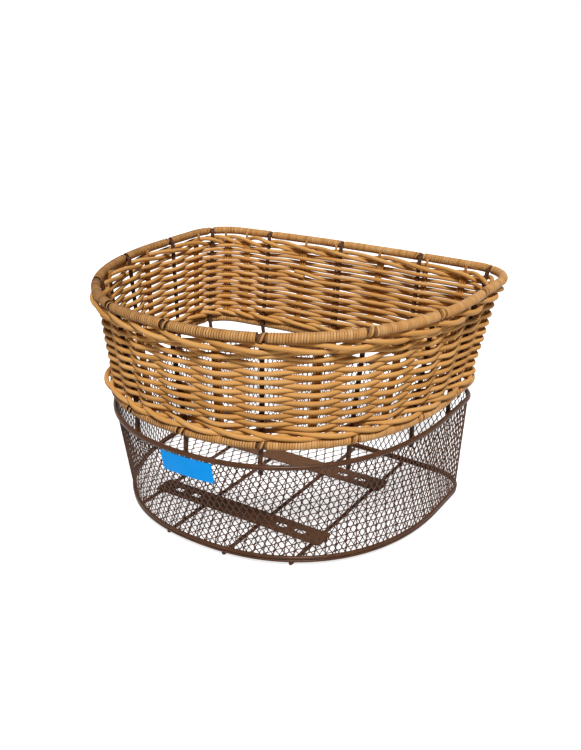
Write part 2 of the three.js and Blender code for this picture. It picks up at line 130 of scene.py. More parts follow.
def grid(verts, fibre, tone, closed):
    # each row of corners is a loop, and the ends are capped unless the rows close too
    rows, sides = verts.shape[:2]
    index = np.arange(rows * sides).reshape(rows, sides)
    row = index if closed else index[:-1]
    nextRow = np.roll(index, -1, 0) if closed else index[1:]
    quads = np.stack([row, np.roll(row, -1, 1), np.roll(nextRow, -1, 1), nextRow], -1).reshape(-1, 4)
    caps = [] if closed else [index[0][::-1], index[-1]]
    return {"verts": verts.reshape(-1, 3), "quads": quads, "caps": caps,
            "fibre": fibre.reshape(-1, 3), "tone": tone.reshape(-1)}


# how far each ring of a bar's end lies past the line, and its size, as shares of the bar's radius
endRings = {"cut": [(0.14, 0.86)], "round": [(0.5, 0.87), (0.87, 0.5), (0.98, 0.2)]}


def tube(points, normals, radius, sides=10, closed=False, tone=0.5, ends="cut"):
    # a round bar along a line
    radius = np.broadcast_to(np.asarray(radius, float), len(points))
    tone = np.broadcast_to(np.asarray(tone, float), len(points))
    if closed:
        along = unit(np.roll(points, -1, 0) - np.roll(points, 1, 0))
    else:
        along = unit(np.gradient(points, axis=0))
        past = np.array([step for step, _ in endRings[ends]])
        size = np.array([share for _, share in endRings[ends]])
        head = points[0] - along[0] * radius[0] * past[::-1, None]
        tail = points[-1] + along[-1] * radius[-1] * past[:, None]
        points = np.concatenate([head, points, tail])
        radius = np.r_[radius[0] * size[::-1], radius, radius[-1] * size]
        normals, along, tone = (np.concatenate([v[:1].repeat(len(past), 0), v, v[-1:].repeat(len(past), 0)])
                                for v in (normals, along, tone))
    side = unit(np.cross(along, normals))
    out = np.cross(side, along)
    a = np.arange(sides) / sides * 2 * math.pi
    x, y = radius[:, None] * np.cos(a), radius[:, None] * np.sin(a)
    verts = points[:, None] + x[..., None] * out[:, None] + y[..., None] * side[:, None]
    run = np.r_[0, np.cumsum(np.linalg.norm(np.diff(points, axis=0), axis=1))] + dice.uniform(0, 5000)
    fibre = np.stack([run[:, None].repeat(sides, 1), x, y], -1)
    return grid(verts, fibre, tone[:, None].repeat(sides, 1), closed)


def addPiece(name, parts, material, slotName, *nodes, smooth=True):
    # joins the parts to one object in metres, which rides on the basket and stands for its CAD nodes
    start, quads, caps = 0, [], []
    for part in parts:
        quads.append(part["quads"] + start)
        caps += [cap + start for cap in part["caps"]]
        start += len(part["verts"])
    quads = np.concatenate(quads)
    loops = np.concatenate([quads.ravel(), *caps]).astype(np.int32)
    sizes = np.array([4] * len(quads) + [len(cap) for cap in caps])
    verts, fibres, tones = (np.concatenate([part[key] for part in parts])
                            for key in ("verts", "fibre", "tone"))
    mesh = bpy.data.meshes.new(name)
    mesh.vertices.add(start)
    mesh.vertices.foreach_set("co", (verts * mm).astype(np.float32).ravel())
    mesh.loops.add(len(loops))
    mesh.loops.foreach_set("vertex_index", loops)
    mesh.polygons.add(len(sizes))
    mesh.polygons.foreach_set("loop_start", np.r_[0, np.cumsum(sizes)[:-1]].astype(np.int32))
    mesh.update(calc_edges=True)
    mesh.polygons.foreach_set("use_smooth", np.full(len(sizes), smooth))
    fibre = mesh.attributes.new("fibre", "FLOAT_VECTOR", "POINT")
    fibre.data.foreach_set("vector", fibres.astype(np.float32).ravel())
    tone = mesh.attributes.new("tone", "FLOAT", "POINT")
    tone.data.foreach_set("value", tones.astype(np.float32))
    return placePiece(name, mesh, material, slotName, *nodes)


def placePiece(name, mesh, material, slotName, *nodes):
    mesh.materials.clear()
    mesh.materials.append(material)
    piece = bpy.data.objects.new(name, mesh)
    bpy.context.scene.collection.objects.link(piece)
    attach(piece, "root")
    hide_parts(*nodes)
    return piece


def smoothLine(knots, perKnot, closed=False):
    # a smooth line through its knots. An open one leaves out the stretches before the second knot and
    # after the last but one.
    if closed:
        knots = np.concatenate([knots[-1:], knots, knots[:2]])
    a, b, c, d = (v[:, None] for v in (knots[:-3], knots[1:-2], knots[2:-1], knots[3:]))
    t = (np.arange(perKnot) / perKnot)[None, :, None]
    line = 2 * b + (c - a) * t + (2 * a - 5 * b + 4 * c - d) * t ** 2 + (3 * b - a - 3 * c + d) * t ** 3
    return line.reshape(-1, knots.shape[1]) / 2


def wander(count, size, step, closed=False):
    # slow random change along a line of that many points
    knots = max(4, math.ceil(count / step))
    if not closed:
        knots += 3
    values = smoothLine(dice.normal(0, size, (knots, 1)), step, closed)[:, 0]
    return np.interp(np.linspace(0, len(values) - 1, count), np.arange(len(values)), values)


# Materials
def colour(text):
    # sRGB hex to linear
    parts = [int(text[i:i + 2], 16) / 255 for i in (1, 3, 5)]
    return [c / 12.92 if c <= 0.04045 else ((c + 0.055) / 1.055) ** 2.4 for c in parts] + [1.0]


def addNode(tree, kind, inputs=None, **settings):
    node = tree.nodes.new(kind)
    for name, value in settings.items():
        setattr(node, name, value)
    for name, value in (inputs or {}).items():
        if isinstance(value, bpy.types.NodeSocket):
            tree.links.new(value, node.inputs[name])
        else:
            node.inputs[name].default_value = value
    return node


def newMaterial(name):
    material = bpy.data.materials.new(name)
    material.use_nodes = True
    material.node_tree.nodes.clear()
    return material, material.node_tree


# Rattan core, peeled round cane under a thin clear lacquer: a warm straw body with paler and browner
# lengths, fine fibres along it and a soft satin light. The fibres are drawn twice their real width.
rattanFinish = {
    # the darkest colour is painted shade, reached where a piece's tone passes 1, as on the stakes
    "body": "#C8914E", "pale": "#DBAC70", "brown": "#8E581E", "paintedShade": "#44260C",
    "fibreWidth": 0.5, "fibreLength": 28, "patchLength": 45, "patchWidth": 4.5,  # mm
    "roughness": (0.48, 0.62), "fibreDepth": 0.07, "specular": 0.08,
}
# Split cane, the outer skin of the same plant: smoother and a little yellower, its fibres along the
# ribbon. The dark lines where one turn meets the next are painted shade, in the browner and darkest
# colours.
ribbonFinish = {
    "body": "#BC874B", "pale": "#DAB07C", "brown": "#8A5620", "paintedShade": "#3E220A",
    "fibreWidth": 0.45, "fibreLength": 18, "patchLength": 16, "patchWidth": 4.5,
    "roughness": (0.38, 0.52), "fibreDepth": 0.04, "specular": 0.12,
}


def caneMaterial(name, look):
    material, tree = newMaterial(name)
    fibre = addNode(tree, "ShaderNodeAttribute", attribute_name="fibre").outputs["Vector"]
    # the tone attribute holds each piece's own random tone and, on the ribbons and the stakes, painted
    # shade
    tone = addNode(tree, "ShaderNodeAttribute", attribute_name="tone").outputs["Fac"]
    across = 1 / look["fibreWidth"]
    stretched = addNode(tree, "ShaderNodeVectorMath",
                        {0: fibre, 1: (1 / look["fibreLength"], across, across)}, operation="MULTIPLY")
    streak = addNode(tree, "ShaderNodeTexNoise", {
        "Vector": stretched.outputs[0], "Scale": 1.0, "Detail": 3.0, "Roughness": 0.6}).outputs["Fac"]
    across = 1 / look["patchWidth"]
    patchy = addNode(tree, "ShaderNodeVectorMath",
                     {0: fibre, 1: (1 / look["patchLength"], across, across)}, operation="MULTIPLY")
    patch = addNode(tree, "ShaderNodeTexNoise", {
        "Vector": patchy.outputs[0], "Scale": 1.0, "Detail": 2.0}).outputs["Fac"]
    paleShare = addNode(tree, "ShaderNodeMapRange",
                        {"Value": patch, "From Min": 0.38, "From Max": 0.72, "To Max": 0.75})
    body = addNode(tree, "ShaderNodeMixRGB", {
        "Fac": paleShare.outputs[0], "Color1": colour(look["body"]), "Color2": colour(look["pale"])})
    # browner with tone: real browner lengths, and painted shade where the tone carries it
    brownAndShadeShare = addNode(tree, "ShaderNodeMapRange",
                         {"Value": tone, "From Min": 0.35, "From Max": 1.0, "To Max": 0.6})
    toned = addNode(tree, "ShaderNodeMixRGB", {
        "Fac": brownAndShadeShare.outputs[0], "Color1": body.outputs[0], "Color2": colour(look["brown"])})
    streakShare = addNode(tree, "ShaderNodeMapRange",
                          {"Value": streak, "From Min": 0.5, "From Max": 0.78, "To Max": 0.5})
    streaked = addNode(tree, "ShaderNodeMixRGB", {
        "Fac": streakShare.outputs[0], "Color1": toned.outputs[0], "Color2": colour(look["brown"])})
    # tone past 1 turns to the darkest colour, which is painted shade
    paintedShadeShare = addNode(tree, "ShaderNodeMapRange",
                        {"Value": tone, "From Min": 1.0, "From Max": 2.0, "To Max": 0.9})
    surface = addNode(tree, "ShaderNodeMixRGB", {
        "Fac": paintedShadeShare.outputs[0], "Color1": streaked.outputs[0], "Color2": colour(look["paintedShade"])})
    low, high = look["roughness"]
    rough = addNode(tree, "ShaderNodeMapRange",
                    {"Value": streak, "From Min": 0.3, "From Max": 0.7, "To Min": low, "To Max": high})
    bump = addNode(tree, "ShaderNodeBump",
                   {"Height": streak, "Strength": 0.35, "Distance": look["fibreDepth"] * mm})
    shader = addNode(tree, "ShaderNodeBsdfPrincipled", {
        "Base Color": surface.outputs[0], "Roughness": rough.outputs[0], "Normal": bump.outputs[0],
        "IOR": 1.5, "Specular IOR Level": look["specular"]})
    addNode(tree, "ShaderNodeOutputMaterial", {"Surface": shader.outputs[0]})
    return material


# Powder coat on steel wire: a satin brown skin with a faint orange peel, a little paler where thin.
# Peel and cloud are the sizes of its dimples and of its patches in mm.
coatFinish = {
    "body": "#4C2F1D", "thin": "#62402A", "peel": 1.3, "cloud": 9, "peelDepth": 0.03,
    "roughness": (0.28, 0.36), "specular": 0.13,
}
# The same coat on the flat straps in a warmer, paler and duller brown; the paler colour is painted light,
# for the light falling on the straps.
strapPaintedLightFinish = {
    "body": "#604029", "thin": "#6E4C34", "peel": 1.6, "cloud": 12, "peelDepth": 0.03,
    "roughness": (0.42, 0.52), "specular": 0.1,
}
# The same coat on expanded sheet, a little lighter all over: painted light, for the light caught on the
# strands' sheared edges.
sheetPaintedLightFinish = {
    "body": "#55392B", "thin": "#745444", "peel": 1.0, "cloud": 9, "peelDepth": 0.03,
    "roughness": (0.38, 0.5), "specular": 0.1,
}
# Enamel on the small plate: a flat even blue with a gentle gloss and very faint ripples.
enamelFinish = {
    "body": "#00A2FF", "thin": "#009AF6", "peel": 4.0, "cloud": 14, "peelDepth": 0.02,
    "roughness": (0.4, 0.5), "specular": 0.08,
}


def coatMaterial(name, look):
    material, tree = newMaterial(name)
    place = addNode(tree, "ShaderNodeTexCoord").outputs["Object"]
    peel = addNode(tree, "ShaderNodeTexNoise", {
        "Vector": place, "Scale": 1 / look["peel"] / mm, "Detail": 2.0}).outputs["Fac"]
    cloud = addNode(tree, "ShaderNodeTexNoise", {
        "Vector": place, "Scale": 1 / look["cloud"] / mm, "Detail": 3.0}).outputs["Fac"]
    share = addNode(tree, "ShaderNodeMapRange",
                    {"Value": cloud, "From Min": 0.45, "From Max": 0.75, "To Max": 0.6})
    body = addNode(tree, "ShaderNodeMixRGB", {
        "Fac": share.outputs[0], "Color1": colour(look["body"]), "Color2": colour(look["thin"])})
    low, high = look["roughness"]
    rough = addNode(tree, "ShaderNodeMapRange",
                    {"Value": cloud, "From Min": 0.3, "From Max": 0.7, "To Min": low, "To Max": high})
    bump = addNode(tree, "ShaderNodeBump",
                   {"Height": peel, "Strength": 0.3, "Distance": look["peelDepth"] * mm})
    shader = addNode(tree, "ShaderNodeBsdfPrincipled", {
        "Base Color": body.outputs[0], "Roughness": rough.outputs[0], "Normal": bump.outputs[0],
        "IOR": 1.5, "Specular IOR Level": look["specular"]})
    addNode(tree, "ShaderNodeOutputMaterial", {"Surface": shader.outputs[0]})
    return material


lacqueredRattan = caneMaterial("lacqueredRattanCore", rattanFinish)
caneRibbon = caneMaterial("splitCaneRibbon", ribbonFinish)
brownCoat = coatMaterial("brownPowderCoat", coatFinish)
# a paler copy of the coat for the straps: painted light
strapCoatPaintedLight = coatMaterial("brownCoatPaintedLighterOnStrap", strapPaintedLightFinish)
# a lighter copy of the coat for the expanded sheet: painted light
sheetCoatPaintedLight = coatMaterial("brownCoatPaintedLighterOnSheet", sheetPaintedLightFinish)
blueEnamel = coatMaterial("blueEnamel", enamelFinish)
print("materials made")

# Ring wires: radius and height. The lower foot wire follows the upper one's outline.
wires = {
    "rimWire": (3.0, rimZ, "rim_wire"),
    "bandFootWire": (3.0, bandFootZ, "band_foot_wire"),
    "midRing": (2.5, midZ, "mid_ring_wire"),
    "footRingUpper": (1.8, footZ, "foot_wire_upper"),
    "footRingLower": (1.4, 5.7, "foot_wire_lower"),
}
for name, (radius, z, node) in wires.items():
    points, out = wallAt(np.linspace(0, 1000, 720, endpoint=False), z)
    addPiece(name, [tube(points, out, radius, 16, closed=True)], brownCoat, "steel", node)

# Uprights, bent wires on the inner side of the rings, each with a bead of weld at the mid ring
upright = {
    "radius": 2.25, "rimInset": 5.3, "bandFootInset": 5.3, "midInset": 4.9,
    "head": 3, "tail": 10, "bendEase": 4,  # reach above the rim and below the mid ring, length of a bend
    "beadLength": 4.8, "beadRadius": 1.9, "beadInset": 2.9,
}


def uprightLine(places, step=1.0):
    # the centre line from the tail below the mid ring to the head, with eased bends
    heights = np.array([midZ - upright["tail"], midZ, bandFootZ, rimZ])
    insets = np.array([upright["midInset"]] * 2 + [upright["bandFootInset"], upright["rimInset"]])
    corners, _ = wallAt(legPlace(*places, midZ, heights), heights, insets)
    head = corners[3:] + (corners[3:] - corners[2:3]) * upright["head"] / (rimZ - bandFootZ)
    corners = np.r_[corners, head]
    z = np.arange(corners[0, 2], corners[-1, 2], step)
    line = np.stack([np.interp(z, corners[:, 2], v) for v in corners.T], -1)
    width = int(upright["bendEase"] / step)
    kernel = np.hanning(2 * width + 3)[1:-1]
    kernel /= kernel.sum()
    for k in range(2):
        start = 2 * line[0, k] - line[width:0:-1, k]
        end = 2 * line[-1, k] - line[-2:-width - 2:-1, k]
        line[:, k] = np.convolve(np.r_[start, line[:, k], end], kernel, "valid")
    return line


for i, places in enumerate(basket["uprights"]):
    line = uprightLine(places)[::2]
    _, out = wallAt(legPlace(*places, midZ, line[:, 2]), line[:, 2])
    bar = tube(line, out, upright["radius"], 16)
    centre, out = wallAt(legPlace(*places, midZ, midZ), midZ, upright["beadInset"])
    span = np.linspace(-1, 1, 9)
    line = centre + np.outer(span, [0, 0, upright["beadLength"] / 2])
    radius = upright["beadRadius"] * np.sqrt(1.05 - span ** 2)
    bead = tube(line, out[None].repeat(9, 0), radius, ends="round")
    addPiece(f"upright{i + 1:02d}", [bar, bead], brownCoat, "steel", f"upright_{i + 1:02d}")
print("steel frame made")

# Stakes stand in threes. One of each three rises past the top row and bends to the inner side of the
# rim. Sizes are shares of the radius.
stakes = {
    "radius": 1.4, "inset": 4.4, "pitch": 2.85, "bottom": 137.7, "top": 227, "steps": 30,
    "stubTop": 235.5, "stubStart": 225, "stubBent": 232.5, "stubInset": 5.95, "stubSize": 1.1,
    "sway": 0.35, "swayLength": 160, "shift": 0.1, "unevenTop": (-2, 1), "unevenBottom": 0.5,
    # the sticks' tone is set browner than the weavers': painted shade for the gaps of the weave they stand
    # in, spread at random
    "size": (0.88, 0.98), "tone": (0.6, 1.1),
}
# Beside two of the back's uprights stand two sticks, of which the one away from the upright is shorter.
# their tones are browner than the weavers': painted shade for the gaps they stand in
spareStakes = {"gap": 3.3, "size": 0.95, "tones": (0.6, 0.8)}

# Columns that the weave goes round, in order: places at the rim and the mid ring, radius and inset
columns = [(*places, upright["radius"], upright["rimInset"]) for places in basket["uprights"]]
columns += [(place, place, stakes["radius"], stakes["inset"]) for place in basket["stakes"]]
columns = np.array(sorted(columns))
nextColumns = np.roll(columns, -1, 0) + np.eye(len(columns))[:, -1:] * [1000, 1000, 0, 0]
# a station is a column or halfway to the next one
stations = np.stack([columns, (columns + nextColumns) / 2], 1).reshape(-1, 4)
roundSteps = len(stations)


def weaveLine(steps, z, chord):
    # the wall's middle at each station, drawn in between two columns by a share of the way to the chord,
    # and the directions square to the leaning columns: a row is lower outside a column than inside
    rimPlace, lowPlace, radius, inset = stations[steps % roundSteps].T
    points, out = wallAt(legPlace(rimPlace, lowPlace, midZ, z), z, inset - bowAt(z))
    foot, _ = wallAt(legPlace(rimPlace, lowPlace, midZ, bandFootZ), bandFootZ)
    head, _ = wallAt(rimPlace, rimZ)
    column = unit(head - foot)
    out = unit(out - column * (out * column).sum(-1, keepdims=True))
    middle = (np.roll(points, 1, 0) + np.roll(points, -1, 0)) / 2
    between = steps % 2 == 1
    between[[0, -1]] = False
    points[between, :2] += chord * (middle - points)[between, :2]
    return points, out, radius


def stakeLine(rimPlace, footPlace, bottom, top):
    z = np.linspace(bottom, top, stakes["steps"])
    inset = stakes["inset"] - bowAt(z)
    lean = smoothStep((z - stakes["stubStart"]) / (stakes["stubBent"] - stakes["stubStart"]))
    inset = inset + (stakes["stubInset"] - inset) * lean
    return wallAt(legPlace(rimPlace, footPlace, bandFootZ, z), z, inset)


for i, place in enumerate(basket["stakes"]):
    start = dice.uniform(0, 6)  # of the sway that the three share, in radians
    sticks = []
    for k in range(3):
        rises = k == i % 3
        top = stakes["stubTop"] if rises else stakes["top"] + dice.uniform(*stakes["unevenTop"])
        bottom = stakes["bottom"] + dice.uniform(-1, 1) * stakes["unevenBottom"]
        points, out = stakeLine(place, place, bottom, top)
        along = np.cross(out, [0, 0, 1])
        aside = (k - 1) * stakes["pitch"] + dice.uniform(-1, 1) * stakes["shift"]
        aside = aside + stakes["sway"] * np.sin(points[:, 2] / stakes["swayLength"] * 2 * math.pi + start)
        radius = stakes["radius"] * (stakes["stubSize"] if rises else dice.uniform(*stakes["size"]))
        points = points + along * aside[:, None]
        sticks.append(tube(points, out, radius, tone=dice.uniform(*stakes["tone"])))
    addPiece(f"stakes{i + 1:02d}", sticks, lacqueredRattan, "rattan", f"stake_group_{i + 1:02d}")

for i, places in enumerate(basket["spares"]):
    away = 1 if i else -1
    sticks = []
    for aside, top, tone in zip((0, away), (stakes["stubTop"], stakes["top"]), spareStakes["tones"]):
        points, out = stakeLine(*places, stakes["bottom"], top)
        points = points + np.cross([0, 0, 1], out) * aside * spareStakes["gap"]
        sticks.append(tube(points, out, stakes["radius"] * spareStakes["size"], tone=tone))
    addPiece(f"spareStake{i + 1}", sticks, lacqueredRattan, "rattan", f"spare_stake_{i + 1}")
print("stakes made")

# The field: one row after another, each outside one column and inside the next. A length goes round
# about twice, and its ends lie one above the other on the inner side of a column.
field = {
    "front": (148.6, 4.13), "back": (147.6, 4.06),  # height of the first row and pitch of the rows
    "backLift": 1.6, "liftFrom": 13, "liftOver": 4,  # at the back the last rows rise to meet the wale
    "rows": 18, "climb": (3, 7),  # the weave climbs to the next row between these columns
    "radius": 2.08, "fuller": 0.05, "seat": -0.2, "chord": 0.6, "perKnot": 6, "sides": 12,
    "rowWave": 0.3, "waveKept": 0.9, "waveStep": 0.14, "jitterZ": 0.16, "jitterOut": 0.12,
    # slow changes along a length: amount, and how many steps from one to the next
    "sizeWander": (0.012, 60), "toneWander": (0.16, 70), "tone": (0.15, 0.55),
    "splices": [6, 72, 130, 188, 250, 306, 376, 448, 526],  # columns counted from the first row's start
    "lap": 0.4, "endShift": 2.05, "endEase": 0.9,
}


def rowLevel(count):
    middle, half = np.mean(field["climb"]), np.ptp(field["climb"]) / 2
    whole = np.round((count - middle) / len(columns))
    past = count - middle - whole * len(columns)
    return whole - 1 + smoothStep((past + half) / (2 * half))


def rowHeight(level, place):
    frontShare = 0.5 - 0.5 * np.cos(place / 1000 * 2 * math.pi)
    (lowBack, pitchBack), (lowFront, pitchFront) = field["back"], field["front"]
    low = lowBack + (lowFront - lowBack) * frontShare
    lift = field["backLift"] * smoothStep((level - field["liftFrom"]) / field["liftOver"])
    low = low + lift * (1 - frontShare)
    return low + (pitchBack + (pitchFront - pitchBack) * frontShare) * level


def rowWaves():
    # rows wander up and down together, and each a little by itself
    waves = [dice.normal(0, field["rowWave"], roundSteps)]
    for _ in range(field["rows"] + 1):
        waves.append(field["waveKept"] * waves[-1] + dice.normal(0, field["waveStep"], roundSteps))
    return np.array(waves)


fieldWaves = rowWaves()


def fieldStrand(first, last):
    steps = np.arange(2 * first - 2, 2 * last + 3)
    count = steps / 2
    level = rowLevel(count)
    z = rowHeight(level, stations[steps % roundSteps, 0])
    z = z + fieldWaves[np.round(level).astype(int).clip(0), steps % roundSteps]
    side = -np.cos(math.pi * count)
    outside = side.clip(0)
    z = z + dice.normal(0, field["jitterZ"], len(z)) * outside
    # distance past either end's column, in stations
    fromFirst, fromLast = steps - 2 * first, 2 * last - steps
    z = z + field["endShift"] * smoothStep(1 - fromFirst / field["endEase"])
    z = z - field["endShift"] * smoothStep(1 - fromLast / field["endEase"])
    points, out, columnRadius = weaveLine(steps, z, field["chord"])
    reach = columnRadius + field["radius"] + field["seat"]
    reach = reach + np.abs(dice.normal(0, field["jitterOut"], len(z)))
    knots = points + out * (side * reach)[:, None]
    per = field["perKnot"]
    line, out = smoothLine(knots, per), unit(smoothLine(out, per))
    side = smoothLine(side[:, None], per)[:, 0]
    trim = round((1 - field["lap"]) * per)
    line, out, side = line[trim:-trim], out[trim:-trim], side[trim:-trim]
    radius = field["radius"] * (1 + field["fuller"] * side ** 2)
    radius = radius * (1 + wander(len(line), *field["sizeWander"]))
    tone = np.clip(dice.uniform(*field["tone"]) + wander(len(line), *field["toneWander"]), 0, 1)
    return tube(line, out, radius, field["sides"], tone=tone)


for k, (first, last) in enumerate(zip(field["splices"], field["splices"][1:])):
    addPiece(f"weaver{k + 1}", [fieldStrand(first, last)], lacqueredRattan, "rattan", "woven_field")
print("field woven")

# Wales: three lengths twist together, each outside two columns and inside the third. Loops are
# places where one stands off: its column, its turn in degrees past the outer side, how far it stands
# out and how much it rises.
wales = {
    "topWale": {
        "z": 225.5, "rise": 3.4, "loose": 1.2, "jitterZ": 0.6, "jitterOut": 0.6, "seat": 0.1,
        "node": "top_wale", "loops": [(17.5, 0, 1.5, 0.0), (26.7, 140, 0.0, 2.0)],
    },
    "bottomWale": {
        "z": 141.9, "rise": 2.3, "loose": 0.8, "jitterZ": 0.3, "jitterOut": 0.4, "seat": 0.0,
        "node": "bottom_wale", "loops": [(17.5, 0, 4.0, 0.5)],
    },
}
waleShape = {
    "radius": 2.35, "chord": 0.5, "perKnot": 6, "sides": 12, "turn": 60,  # degrees a station
    "loopReach": 1.2, "loopPart": 0.45,  # columns to either side, and least cosine of the turn within it
    "tone": 0.3, "sizeWander": (0.02, 60), "toneWander": (0.16, 70),
}


def waleStrand(look):
    steps = np.arange(-2, 3 * roundSteps)
    angle = np.radians(waleShape["turn"] * (steps - 1))
    outside = np.cos(angle).clip(0)
    jitter = dice.normal(0, 1, (2, len(steps))) * outside
    z = look["z"] + look["rise"] * np.sin(angle) + jitter[0] * look["jitterZ"]
    extra = jitter[1] * look["jitterOut"]
    for column, turn, standOff, lift in look["loops"]:
        away = (steps / 2 - column + len(columns) / 2) % len(columns) - len(columns) / 2
        within = np.cos(angle - math.radians(turn)) > waleShape["loopPart"]
        share = smoothStep(waleShape["loopReach"] - np.abs(away)) * within
        extra = extra + standOff * share
        z = z + lift * share
    points, out, columnRadius = weaveLine(steps, z, waleShape["chord"])
    reach = columnRadius + waleShape["radius"] + look["seat"]
    # columns meet the twist at 60, 180 and 300 degrees, so it reaches further out between them
    swing = (2 * reach + look["loose"]) * 2 / 3
    offset = swing - reach + swing * np.cos(angle) + extra
    knots = (points + out * offset[:, None])[2:]
    per = waleShape["perKnot"]
    line, out = smoothLine(knots, per, closed=True), unit(smoothLine(out[2:], per, closed=True))
    radius = waleShape["radius"] * (1 + wander(len(line), *waleShape["sizeWander"], closed=True))
    tone = waleShape["tone"] + wander(len(line), *waleShape["toneWander"], closed=True)
    return tube(line, out, radius, waleShape["sides"], closed=True, tone=np.clip(tone, 0, 1))


for name, look in wales.items():
    addPiece(name, [waleStrand(look)], lacqueredRattan, "rattan", look["node"])
print("wales woven")

# Ribbon wound on the two rings of the band
ribbon = {
    "width": 4.4, "pitch": 2.35, "thickness": 0.5, "base": 3.2, "crossing": 9.6, "steps": 18,
    "loose": 0.14, "toneSpread": 0.2,
    # half of the ribbon's section: place across its width, height over its back as a share of the
    # thickness, and painted shade, darker at its edges and where the next turn covers it
    "section": [(-0.5, 0.2, 1.8), (-0.48, 0.7, 1.3), (-0.4, 1.0, 0.4), (-0.2, 1.12, 0.2),
                (-0.04, 1.0, 0.6), (0.04, 0.92, 1.8), (0.3, 0.9, 1.2), (0.5, 0.2, 1.6),
                (0.48, 0.0, 1.0), (-0.48, 0.0, 1.0)],
}


def ribbonStops(z, run, places):
    # where the ribbon passes the inner side of the ring. Between two uprights the turns lie side by
    # side, and at an upright one turn crosses its outer side.
    marks = sorted(np.interp(legPlace(*pair, midZ, z) % 1000, places, run) for pair in basket["uprights"])
    stops = []
    for here, after in zip(marks, marks[1:] + [marks[0] + run[-1]]):
        start, end = here + ribbon["crossing"] / 2, after - ribbon["crossing"] / 2
        turns = max(1, round((end - start) / ribbon["pitch"]))
        stops += list(start + (end - start) * np.arange(turns) / turns) + [end]
    stops = np.array(stops)
    stops += dice.normal(0, ribbon["loose"], len(stops))
    return np.r_[stops, stops[0] + run[-1]]


def woundRibbon(z):
    places = np.linspace(0, 1000, 2881)
    points, _ = wallAt(places, z)
    run = np.r_[0, np.cumsum(np.linalg.norm(np.diff(points, axis=0), axis=1))]
    stops = ribbonStops(z, run, places)
    turns = len(stops) - 1
    t = np.arange(turns * ribbon["steps"]) / ribbon["steps"]
    base = np.floor(t).astype(int)
    share = t - base
    middle = stops[base] + (stops[base + 1] - stops[base]) * share
    angle = math.pi - 2 * math.pi * t
    across, height, shade = np.array(ribbon["section"]).T
    across = across * ribbon["width"]
    lift = ribbon["thickness"] / ribbon["pitch"] * (ribbon["width"] / 2 - across)
    reach = ribbon["base"] + lift + height * ribbon["thickness"]
    centre, out = wallAt(np.interp((middle[:, None] + across) % run[-1], run, places), z)
    verts = centre + out * (reach * np.cos(angle)[:, None])[..., None]
    verts[..., 2] += reach * np.sin(angle)[:, None]
    tones = dice.normal(0, ribbon["toneSpread"], turns + 1)
    tones[-1] = tones[0]
    # each turn's random tone plus the section's painted shade
    tone = (tones[base] * (1 - share) + tones[base + 1] * share)[:, None] + shade
    length = t * 2 * math.pi * (ribbon["base"] + ribbon["thickness"])
    flat = np.ones((len(t), len(across)))
    fibre = np.stack([length[:, None] * flat, across + base[:, None] * ribbon["width"], height * flat], -1)
    return grid(verts, fibre, tone, closed=True)


addPiece("rimRibbon", [woundRibbon(rimZ)], caneRibbon, "ribbon", "rim_wrap")
addPiece("bandFootRibbon", [woundRibbon(bandFootZ)], caneRibbon, "ribbon", "band_foot_wrap")
print("ribbons wound")

# Expanded mesh: zigzag strands, of which two neighbours lie together along each bond. Level is the
# length of a bond and the slant after it, and tilt is how far a strand leans about its line.
wallMesh = {
    "cells": 165, "level": 6.2, "slant": 4.0, "wide": 0.78, "thick": 0.65, "inset": 0.3, "tilt": 20,
    "bottom": 10.6, "top": 110.2,
}
floorMesh = {
    "cell": 11, "level": 10.4, "slant": 6.8, "wide": 0.95, "thick": 0.75, "inset": 1.6, "tilt": 20,
    "z": 4.9, "front": -150, "back": 140,
}
bondPress = 0.42  # share of a strand's width from its middle to the next strand, along a bond


def sheetBar(points, normals, look):
    along = unit(np.gradient(points, axis=0))
    side = unit(np.cross(along, normals))
    out = np.cross(side, along)
    tilt = math.radians(look["tilt"])
    u = np.array([1, -1, -1, 1]) * look["wide"] / 2
    v = np.array([1, 1, -1, -1]) * look["thick"] / 2
    x, y = u * math.cos(tilt) - v * math.sin(tilt), u * math.sin(tilt) + v * math.cos(tilt)
    verts = points[:, None] + side[:, None] * x[:, None] + out[:, None] * y[:, None]
    return grid(verts, verts, np.full(verts.shape[:2], 0.5), closed=False)


def sheetCorners(look, low, high, spacing):
    # where a strand turns, and how far it stands aside there, as a share of the strands' spacing
    levels = np.arange(math.ceil((high - low) / look["level"]) + 1)
    corners = (low + look["level"] * levels[:, None] + [0, look["level"] - look["slant"]]).ravel()
    return corners, np.repeat((-1.0) ** levels, 2) * (0.5 - bondPress * look["wide"] / spacing)


def wallMeshStrands():
    look = wallMesh
    count = 2 * look["cells"]
    loop, _ = wallAt(np.linspace(0, 1000, 721), (look["bottom"] + look["top"]) / 2)
    spacing = np.linalg.norm(np.diff(loop, axis=0), axis=1).sum() / count
    corners, aside = sheetCorners(look, look["bottom"], look["top"], spacing)
    z = np.r_[corners[corners < look["top"] - 0.1], look["top"]]
    aside = np.interp(z, corners, aside)
    parts = []
    for strand in range(count):
        points, out = wallAt((strand + aside * (-1) ** strand) / count * 1000, z, look["inset"])
        parts.append(sheetBar(points, out, look))
    return parts


def insideLoop(loop, x, y):
    inside = np.zeros(len(x), bool)
    for (ax, ay), (bx, by) in zip(loop, np.roll(loop, -1, 0)):
        if ay != by:
            inside ^= ((by > y) != (ay > y)) & (x < (bx - ax) * (y - ay) / (by - ay) + ax)
    return inside


